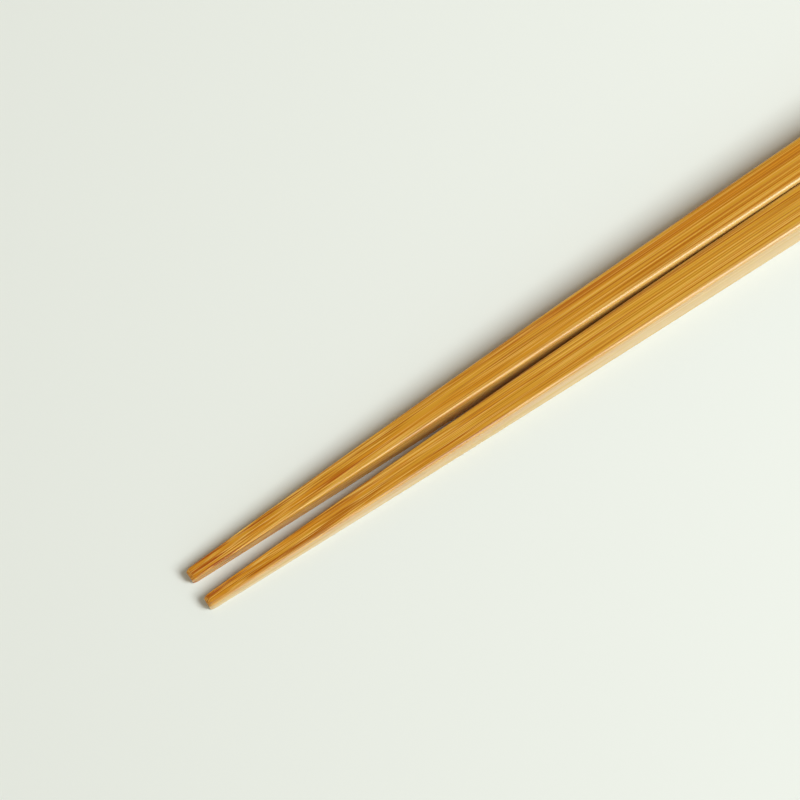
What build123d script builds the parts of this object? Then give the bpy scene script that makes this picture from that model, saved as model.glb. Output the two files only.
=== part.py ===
from build123d import *
import math
import os

# Pair of square-section bamboo chopsticks, lying side by side, each on one straight face.
# Millimetres. X runs from the tips to the handle ends, Z is up and the sticks lie on Z = 0.
# The origin is midway along the pair and midway between the two sticks.

# The stick, measured from its tip
length = 230.0
tip_side = 2.15  # side of the square section at the blunt tip
handle_side = 7.2  # side of the square section at the handle
handle_length = 45.0  # parallel stretch at the handle end
edge_share = 0.1  # radius of the four long edges, as a share of the section's side
tip_rim = 0.15  # radius of the sanded rim round the blunt tip
end_rim = 0.4  # radius of the sanded rim round the handle end

# How the pair lies: the tips drawn together, the handles almost touching
tip_gap = 3.3
handle_clearance = 0.05

# Seen from above, each stick narrows along a parabola that runs into the parallel stretch. The two
# bowed inner faces come closest where they run along the middle plane. This slope of the centre
# line leaves tip_gap between the tips and handle_clearance at that closest place.
taper_length = length - handle_length
bow = (handle_side - tip_side) / 2
closing = (tip_gap - handle_clearance) / 2
turn_out = math.atan(2 * (bow - math.sqrt(bow * closing)) / taper_length)

# Centre line of the right-hand stick, drawn on the table from its tip
centre_line = Plane(
    origin=(-length / 2, (tip_gap + tip_side) / 2, 0),
    x_dir=(math.cos(turn_out), math.sin(turn_out), 0),
    z_dir=(0, 0, 1),
)


def across(from_tip):
    """The plane square to the stick, with its origin on the table under the centre line."""
    return Plane(
        origin=centre_line.from_local_coords((from_tip, 0, 0)),
        x_dir=centre_line.y_dir,
        z_dir=centre_line.x_dir,
    )


def side_at(from_tip):
    """Side of the square section at a distance from the tip, along the taper."""
    return handle_side - (handle_side - tip_side) * (1 - from_tip / taper_length) ** 2


def section(from_tip):
    """Square section that stands on the table, so that the face the stick lies on is straight and
    the taper comes off the other three. Its corners shrink with it: soft in the hand, crisp at the
    tip."""
    side = side_at(from_tip)
    RectangleRounded(side, side, side * edge_share, align=(Align.CENTER, Align.MIN))


with BuildPart() as right_chopstick:
    for from_tip in (0, taper_length / 2, taper_length):
        with BuildSketch(across(from_tip)):
            section(from_tip)
    loft()
    with BuildSketch(across(taper_length)):
        section(taper_length)
    extrude(amount=handle_length)
    fillet(right_chopstick.faces().sort_by(Axis.X)[0].edges(), tip_rim)
    fillet(right_chopstick.faces().sort_by(Axis.X)[-1].edges(), end_rim)

# The other stick is the same, mirrored in the middle plane.
with BuildPart() as left_chopstick:
    mirror(right_chopstick.part, about=Plane.XZ)

os.makedirs("parts", exist_ok=True)
right_chopstick.part.label = "right_chopstick"
export_step(right_chopstick.part, "parts/right_chopstick.step")
left_chopstick.part.label = "left_chopstick"
export_step(left_chopstick.part, "parts/left_chopstick.step")
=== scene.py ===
import math

import bmesh
import bpy
from mathutils import Matrix, Quaternion, Vector, noise


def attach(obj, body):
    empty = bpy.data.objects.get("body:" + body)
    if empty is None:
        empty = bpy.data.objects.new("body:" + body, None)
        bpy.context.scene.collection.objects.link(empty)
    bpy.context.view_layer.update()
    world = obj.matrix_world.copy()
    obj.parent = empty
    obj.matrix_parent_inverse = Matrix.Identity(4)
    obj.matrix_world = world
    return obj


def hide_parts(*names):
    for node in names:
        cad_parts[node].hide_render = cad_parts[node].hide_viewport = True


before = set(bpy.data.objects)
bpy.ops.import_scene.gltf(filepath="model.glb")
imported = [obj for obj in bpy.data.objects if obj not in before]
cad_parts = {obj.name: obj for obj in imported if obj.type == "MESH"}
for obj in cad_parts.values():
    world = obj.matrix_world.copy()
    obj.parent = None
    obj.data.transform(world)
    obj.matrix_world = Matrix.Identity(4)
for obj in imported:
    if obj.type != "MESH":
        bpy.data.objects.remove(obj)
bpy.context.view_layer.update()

# Sizes of the pair in millimetres, as in the solids
MM = 0.001
LENGTH = 230.0
TIP_SIDE = 2.15
HANDLE_SIDE = 7.2
HANDLE_LENGTH = 45.0
EDGE_SHARE = 0.1  # radius of the four long edges, as a share of the side
TIP_RIM = 0.15
END_RIM = 0.4
TIP_GAP = 3.3
HANDLE_CLEARANCE = 0.05

TAPER = HANDLE_SIDE - TIP_SIDE
TAPER_LENGTH = LENGTH - HANDLE_LENGTH
BOW = TAPER / 2
CLOSING = (TIP_GAP - HANDLE_CLEARANCE) / 2
TURN_OUT = math.atan(2 * (BOW - math.sqrt(BOW * CLOSING)) / TAPER_LENGTH)

# How finely a stick is divided, along it and round its edges
RING_STEP = 2.0
EDGE_SEGMENTS = 8
RIM_SEGMENTS = 4
SAME_PLACE = 1e-4

# What use leaves on the tips
TIP_WEAR = 0.2  # share of the side that is gone at the very tip
TIP_WEAR_LENGTH = 0.9
TIP_WEAR_RINGS = 6

# What sanding leaves on the faces and edges
SANDING_DEPTH = 0.05
SANDING_WAVE = 16.0
SANDING_WAVE_ACROSS = 3.0
SANDING_SHIFT = 7.0  # keeps the two sticks from being alike
SANDING_START = 1.0  # height above the table at which sanding has its full depth

# The fibres: how they follow the taper, how slim they are and how they sway
RUN_OUT = 0.28  # share of the taper that is cut across the fibres at the tip
FIBRE_SLIMNESS = 0.003  # width as a share of length
SWAY = 0.15
SWAY_LENGTH = 45.0

# By depth from their side of the stick, each whole up to the first depth and gone past the second: the
# golden ground near the culm's outer layer, the painted light on the outer side and the painted light
# in the shaded gap on the inner side
GOLDEN_DEPTH = (1.5, 5.5)
OUTER_DEPTH = (0.6, 1.9)
INNER_DEPTH = (0.35, 0.9)
GOLDEN_END = 0.75  # share of the taper, from the handle on, over which the golden ground ends
GOLDEN_LEAST = 0.2  # what is golden at the handle of a stick with no painted light on its outer side
OUTER_AT_HANDLE = 0.74
OUTER_CLIMB = 0.33  # how much a step upwards counts as depth, at the tip
OUTER_STREAK = 0.8  # width of the streaks in the outer side's painted light


def linear(hex_colour):
    """An sRGB hex value as a linear colour with alpha."""
    shares = [int(hex_colour[i:i + 2], 16) / 255 for i in (1, 3, 5)]
    return [s / 12.92 if s <= 0.04045 else ((s + 0.055) / 1.055) ** 2.4 for s in shares] + [1.0]


def add(tree, kind, links=None, **settings):
    """A node with its settings, and its inputs set to values or linked from other nodes' outputs."""
    node = tree.nodes.new(kind)
    for key, value in settings.items():
        setattr(node, key, value)
    for key, value in (links or {}).items():
        if isinstance(value, bpy.types.NodeSocket):
            tree.links.new(value, node.inputs[key])
        else:
            node.inputs[key].default_value = value
    return node


def blank_material(name):
    """A material whose nodes are still to come."""
    material = bpy.data.materials.new(name)
    material.use_nodes = True
    material.node_tree.nodes.clear()
    return material


def in_scene(name, data):
    """A new object of the scene, still at the origin."""
    thing = bpy.data.objects.new(name, data)
    bpy.context.scene.collection.objects.link(thing)
    return thing


def mesh_piece(name, bm, material):
    """A finished shape as an object with its material."""
    mesh = bpy.data.meshes.new(name)
    bm.to_mesh(mesh)
    bm.free()
    mesh.materials.append(material)
    return in_scene(name, mesh)


def tip_place(hand):
    """Where a stick's centre line starts on the table, in metres."""
    return Vector((-LENGTH / 2, hand * (TIP_GAP + TIP_SIDE) / 2, 0.0)) * MM


def side_at(from_tip):
    """Side of the square section at a distance from the tip."""
    left = max(1 - from_tip / TAPER_LENGTH, 0.0)
    return HANDLE_SIDE - TAPER * left**2


def chopstick(name, hand, material):
    """One stick: a square blank, tapered on three faces, its edges rounded and sanded by hand."""
    bm = bmesh.new()
    bmesh.ops.create_cube(bm, size=1.0, matrix=Matrix.Translation((0.5, 0.0, 0.5)))
    bmesh.ops.scale(bm, vec=(LENGTH, 1.0, 1.0), verts=bm.verts)
    long_edges = [e for e in bm.edges if e.verts[0].co.x != e.verts[1].co.x]
    bmesh.ops.subdivide_edges(bm, edges=long_edges, cuts=round(LENGTH / RING_STEP) - 1)

    # The long edges, the taper, then the rims of the two ends
    corners = [e for e in bm.edges if abs(e.verts[0].co.x - e.verts[1].co.x) > RING_STEP / 2]
    bmesh.ops.bevel(bm, geom=corners, offset=EDGE_SHARE, segments=EDGE_SEGMENTS, profile=0.5,
                    affect="EDGES", material=-1)
    for v in bm.verts:
        v.co.yz = v.co.yz * side_at(v.co.x)
    for end, rim in ((0.0, TIP_RIM), (LENGTH, END_RIM)):
        edges = [e for e in bm.edges if all(abs(v.co.x - end) < SAME_PLACE for v in e.verts)]
        bmesh.ops.bevel(bm, geom=edges, offset=rim, segments=RIM_SEGMENTS, profile=0.5,
                        affect="EDGES", material=-1)

    # Use has rounded the blunt tip further
    for ring in range(1, TIP_WEAR_RINGS + 1):
        ring_place = TIP_RIM + ring * (TIP_WEAR_LENGTH - TIP_RIM) / TIP_WEAR_RINGS
        bmesh.ops.bisect_plane(bm, geom=bm.verts[:] + bm.edges[:] + bm.faces[:],
                               plane_co=(ring_place, 0.0, 0.0), plane_no=(1.0, 0.0, 0.0))
    for v in bm.verts:
        v.co.yz = v.co.yz * (1 - TIP_WEAR * max(1 - v.co.x / TIP_WEAR_LENGTH, 0.0)**2)

    # Sanding takes a little more off here and there, but leaves the resting face straight
    bm.normal_update()
    for v in bm.verts:
        wave = Vector((v.co.x / SANDING_WAVE, v.co.y / SANDING_WAVE_ACROSS + SANDING_SHIFT * hand,
                       v.co.z / SANDING_WAVE_ACROSS))
        depth = SANDING_DEPTH * (0.5 + 0.5 * noise.noise(wave)) * side_at(v.co.x) / HANDLE_SIDE
        v.co -= v.normal * depth * min(v.co.z / SANDING_START, 1.0)

    place = Matrix.Translation(tip_place(hand)) @ Matrix.Rotation(hand * TURN_OUT, 4, "Z")
    bmesh.ops.transform(bm, matrix=place @ Matrix.Scale(MM, 4), verts=bm.verts)

    # Smooth shading that keeps the flat faces flat up to their rounded edges
    for face in bm.faces:
        face.smooth = True
    stick = mesh_piece(name, bm, material)
    stick.modifiers.new("flat faces", "WEIGHTED_NORMAL").weight = 60
    return stick


def carbonised_bamboo(name, hand, cut, outer_golden_and_painted_light, inner_painted_light):
    """Carbonised bamboo, planed, sanded and lacquered. Steaming turns it amber all through. The eye
    sees long parallel fibres on a golden ground: dark bundles, paler tissue between them and fine
    lines. They follow the stick and run out slowly where the faces taper. The thin lacquer gives a
    soft gloss, and a little light passes through the wood at its edges."""
    material = blank_material(name)
    tree = material.node_tree

    # The stick's own millimetres: x from the tip, y across and z up from the table
    place = add(tree, "ShaderNodeTexCoord")
    own = add(tree, "ShaderNodeMapping", {
        "Vector": place.outputs["Object"], "Location": tip_place(hand),
        "Rotation": (0.0, 0.0, hand * TURN_OUT), "Scale": (MM, MM, MM)}, vector_type="TEXTURE")
    axes = add(tree, "ShaderNodeSeparateXYZ", {0: own.outputs[0]})

    # Fibres bend with the tapering top, less so near the tip, and sway a little from side to side
    left = add(tree, "ShaderNodeMapRange", {
        "Value": axes.outputs["X"], "From Max": TAPER_LENGTH, "To Min": 1.0, "To Max": 0.0})
    drop = add(tree, "ShaderNodeMath", {0: left.outputs[0], 1: 2.0}, operation="POWER")
    bend = add(tree, "ShaderNodeMath", {
        0: drop.outputs[0], 1: -RUN_OUT * TAPER, 2: TAPER}, operation="MULTIPLY_ADD")
    height = add(tree, "ShaderNodeMath", {
        0: drop.outputs[0], 1: bend.outputs[0], 2: axes.outputs["Z"]}, operation="MULTIPLY_ADD")
    drift = add(tree, "ShaderNodeTexNoise", {
        "Vector": own.outputs[0], "Scale": 1 / SWAY_LENGTH, "Detail": 0.0})
    sway = add(tree, "ShaderNodeMath", {
        0: drift.outputs["Fac"], 1: SWAY, 2: axes.outputs["Y"]}, operation="MULTIPLY_ADD")
    straight = add(tree, "ShaderNodeCombineXYZ", {
        0: axes.outputs["X"], 1: sway.outputs[0], 2: height.outputs[0]})
    fibre = add(tree, "ShaderNodeVectorMath", {
        0: straight.outputs[0], 1: (FIBRE_SLIMNESS, 1.0, 1.0), 2: cut}, operation="MULTIPLY_ADD")

    # The ground: amber, and more golden towards the outer layer of the culm, most so at the handle
    half = add(tree, "ShaderNodeMath", {
        0: drop.outputs[0], 1: -BOW, 2: HANDLE_SIDE / 2}, operation="MULTIPLY_ADD")
    inwards = add(tree, "ShaderNodeMath", {
        0: axes.outputs["Y"], 1: -hand, 2: half.outputs[0]}, operation="MULTIPLY_ADD")
    share = add(tree, "ShaderNodeMapRange", {
        "Value": left.outputs[0], "From Max": GOLDEN_END,
        "To Min": GOLDEN_LEAST + (1 - GOLDEN_LEAST) * outer_golden_and_painted_light, "To Max": 0.0})
    golden = add(tree, "ShaderNodeMapRange", {
        "Value": inwards.outputs[0], "From Min": GOLDEN_DEPTH[1], "From Max": GOLDEN_DEPTH[0],
        "To Max": share.outputs[0]})
    colour = add(tree, "ShaderNodeMix", {
        0: golden.outputs[0], 6: linear("#CC9626"), 7: linear("#D0AE3E")}, data_type="RGBA").outputs[2]

    # Each kind of line: its width in millimetres, how often it splits finer, where its noise starts
    # and ends, its share at the handle and at the tip, and its colour. Real lines are finer still
    # than the last two, which are drawn as coarse as they need to be to show
    for width, detail, start, end, handle_share, tip_share, tint in (
            (1.6, 0.0, 0.45, 0.65, 0.45, 0.75, "#CA820A"),  # broad orange bands
            (0.45, 1.0, 0.47, 0.31, 0.2, 1.0, "#9C4400"),  # dark bundles, cut open by the taper
            (0.20, 1.0, 0.50, 0.36, 0.8, 0.95, "#A66000"),  # dark lines
            (0.18, 1.0, 0.51, 0.68, 0.7, 1.0, "#E1B556")):  # pale lines
        line = add(tree, "ShaderNodeTexNoise", {
            "Vector": fibre.outputs[0], "Scale": 1 / width, "Detail": detail})
        share = add(tree, "ShaderNodeMapRange", {
            "Value": left.outputs[0], "To Min": handle_share, "To Max": tip_share})
        drawn = add(tree, "ShaderNodeMapRange", {
            "Value": line.outputs["Fac"], "From Min": start, "From Max": end,
            "To Max": share.outputs[0]})
        colour = add(tree, "ShaderNodeMix", {
            0: drawn.outputs[0], 6: colour, 7: linear(tint)}, data_type="RGBA").outputs[2]

    # Painted light on the outer side: a paler colour that stands in for the window's light and the
    # floor's reflection on that face, and widens the highlight on its edge. It lies along the outer
    # side and fades inwards and, most so towards the tip, upwards, with the pale lines making its
    # border ragged
    upwards = add(tree, "ShaderNodeMath", {
        0: drop.outputs[0], 1: axes.outputs["Z"]}, operation="MULTIPLY")
    depth = add(tree, "ShaderNodeMath", {
        0: upwards.outputs[0], 1: OUTER_CLIMB, 2: inwards.outputs[0]}, operation="MULTIPLY_ADD")
    ragged = add(tree, "ShaderNodeMath", {
        0: line.outputs["Fac"], 1: depth.outputs[0]}, operation="ADD")
    share = add(tree, "ShaderNodeMapRange", {
        "Value": left.outputs[0], "To Min": OUTER_AT_HANDLE * outer_golden_and_painted_light, "To Max": outer_golden_and_painted_light})
    fade = add(tree, "ShaderNodeMapRange", {
        "Value": ragged.outputs[0], "From Min": OUTER_DEPTH[1], "From Max": OUTER_DEPTH[0],
        "To Max": share.outputs[0]})

    # The streaks of this painted pale side differ in how golden they are
    streak = add(tree, "ShaderNodeTexNoise", {
        "Vector": fibre.outputs[0], "Scale": 1 / OUTER_STREAK, "Detail": 1.0})
    tone = add(tree, "ShaderNodeMapRange", {
        "Value": streak.outputs["Fac"], "From Min": 0.36, "From Max": 0.64})
    painted_lit_side = add(tree, "ShaderNodeMix", {
        0: tone.outputs[0], 6: linear("#D6BC7A"), 7: linear("#DECAA0")}, data_type="RGBA")
    colour = add(tree, "ShaderNodeMix", {
        0: fade.outputs[0], 6: colour, 7: painted_lit_side.outputs[2]}, data_type="RGBA").outputs[2]

    # Painted light on the inner side too, most so at the handle: a paler colour that lights the shaded
    # gap between the sticks and makes the highlight on that edge cream
    across = add(tree, "ShaderNodeMath", {
        0: axes.outputs["Y"], 1: hand, 2: half.outputs[0]}, operation="MULTIPLY_ADD")
    share = add(tree, "ShaderNodeMapRange", {
        "Value": left.outputs[0], "To Min": inner_painted_light, "To Max": 0.0})
    inner = add(tree, "ShaderNodeMapRange", {
        "Value": across.outputs[0], "From Min": INNER_DEPTH[1], "From Max": INNER_DEPTH[0],
        "To Max": share.outputs[0]})
    colour = add(tree, "ShaderNodeMix", {
        0: inner.outputs[0], 6: colour, 7: linear("#E6CE80")}, data_type="RGBA").outputs[2]

    # Fibres stand a little proud of the softer tissue
    relief = add(tree, "ShaderNodeBump", {
        "Height": line.outputs["Fac"], "Strength": 1.0, "Distance": 0.006 * MM})
    shader = add(tree, "ShaderNodeBsdfPrincipled", {
        "Base Color": colour, "Roughness": 0.26, "IOR": 1.5, "Normal": relief.outputs[0],
        "Subsurface Weight": 0.1, "Subsurface Radius": (1.0, 0.4, 0.1), "Subsurface Scale": 1.2 * MM})
    add(tree, "ShaderNodeOutputMaterial", {"Surface": shader.outputs[0]})
    return material


def matt_board():
    """Matt painted board, off-white: even, with no gloss and no grain at this distance."""
    material = blank_material("matt painted board")
    tree = material.node_tree
    # Its shading leans to the open side, so that the lit sticks throw no warm glow on it
    facing = add(tree, "ShaderNodeCombineXYZ", {0: -0.15, 1: -0.42, 2: 0.89})
    shader = add(tree, "ShaderNodeBsdfPrincipled", {
        "Base Color": linear("#E5EEEB"), "Roughness": 0.9, "Specular IOR Level": 0.1,
        "Normal": facing.outputs[0]})
    add(tree, "ShaderNodeOutputMaterial", {"Surface": shader.outputs[0]})
    return material


def pale_floor():
    """The plain surface that the pair lies on, 8 metres each way."""
    bm = bmesh.new()
    bmesh.ops.create_grid(bm, x_segments=1, y_segments=1, size=4.0)
    mesh_piece("floor", bm, matt_board())


def soft_box(name, towards, distance, size, energy):
    """A soft lamp that faces the tapered half of the pair, its width level with the sticks."""
    lamp = bpy.data.lights.new(name, "AREA")
    lamp.shape = "RECTANGLE"
    lamp.size, lamp.size_y = size
    lamp.energy = energy
    aim = Vector((-0.05, 0.0, 0.0))
    towards = Vector(towards).normalized()
    along = (Vector((1.0, 0.0, 0.0)) - towards * towards.x).normalized()
    box = in_scene(name, lamp)
    box.location = aim + towards * distance
    box.rotation_euler = Matrix((along, towards.cross(along), towards)).transposed().to_euler()
    return box


def studio_light():
    """A window to the right of the camera, a white card over the sticks that only gloss shows, and a
    dim surround that is darkest overhead."""
    soft_box("window", towards=(0.70, -0.82, 1.1), distance=1.25, size=(0.51, 0.69), energy=14.4)
    card = soft_box("card", towards=(0.13, -0.50, 0.86), distance=1.0, size=(0.5, 0.95), energy=8.2)
    card.visible_diffuse = False

    world = bpy.data.worlds.new("surround")
    world.use_nodes = True
    tree = world.node_tree
    tree.nodes.clear()
    sky = add(tree, "ShaderNodeTexCoord")
    rise = add(tree, "ShaderNodeSeparateXYZ", {0: sky.outputs["Generated"]})
    dim = add(tree, "ShaderNodeMapRange", {
        "Value": rise.outputs["Z"], "From Min": 0.7, "From Max": 0.95, "To Min": 0.54, "To Max": 0.16})
    surround = add(tree, "ShaderNodeBackground", {
        "Color": linear("#FFF0DC"), "Strength": dim.outputs[0]})
    add(tree, "ShaderNodeOutputWorld", {"Surface": surround.outputs[0]})
    bpy.context.scene.world = world


def photo_camera():
    """Long lens, looking down on the tips from beside the pair."""
    azimuth, elevation, roll = math.radians(-16.518), math.radians(69.464), math.radians(-17.758)
    aim, distance = Vector((-70.153, 8.761, 0.0)), 547.7
    back = Vector((math.sin(azimuth) * math.cos(elevation), -math.cos(azimuth) * math.cos(elevation),
                   math.sin(elevation)))
    lens = bpy.data.cameras.new("camera")
    lens.lens, lens.sensor_width = 100.0, 24.0
    lens.clip_start, lens.clip_end = 0.01, 20.0
    camera = in_scene("camera", lens)
    camera.location = aim * MM + back * distance * MM
    camera.rotation_mode = "QUATERNION"
    camera.rotation_quaternion = (-back).to_track_quat("-Z", "Y") @ Quaternion((0.0, 0.0, 1.0), roll)
    bpy.context.scene.camera = camera


# Each stick: the side it lies on, where in the culm's pattern it is cut, how golden its outer side is
# and how much painted light it has there, and how much painted light it has on its inner side
for node, hand, cut, outer_golden_and_painted_light, inner_painted_light in (
        ("right_chopstick", 1, (0.0, 13.7, 5.2), 0.0, 1.0),
        ("left_chopstick", -1, (7.0, 83.6, 12.7), 1.0, 0.1)):
    side = node.split("_")[0]
    bamboo = carbonised_bamboo("carbonised bamboo, " + side, hand, cut, outer_golden_and_painted_light, inner_painted_light)
    stick = chopstick(side + "_stick", hand, bamboo)
    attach(stick, "root")
    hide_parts(node)

pale_floor()
studio_light()
photo_camera()
bpy.context.scene.view_settings.view_transform = "Standard"
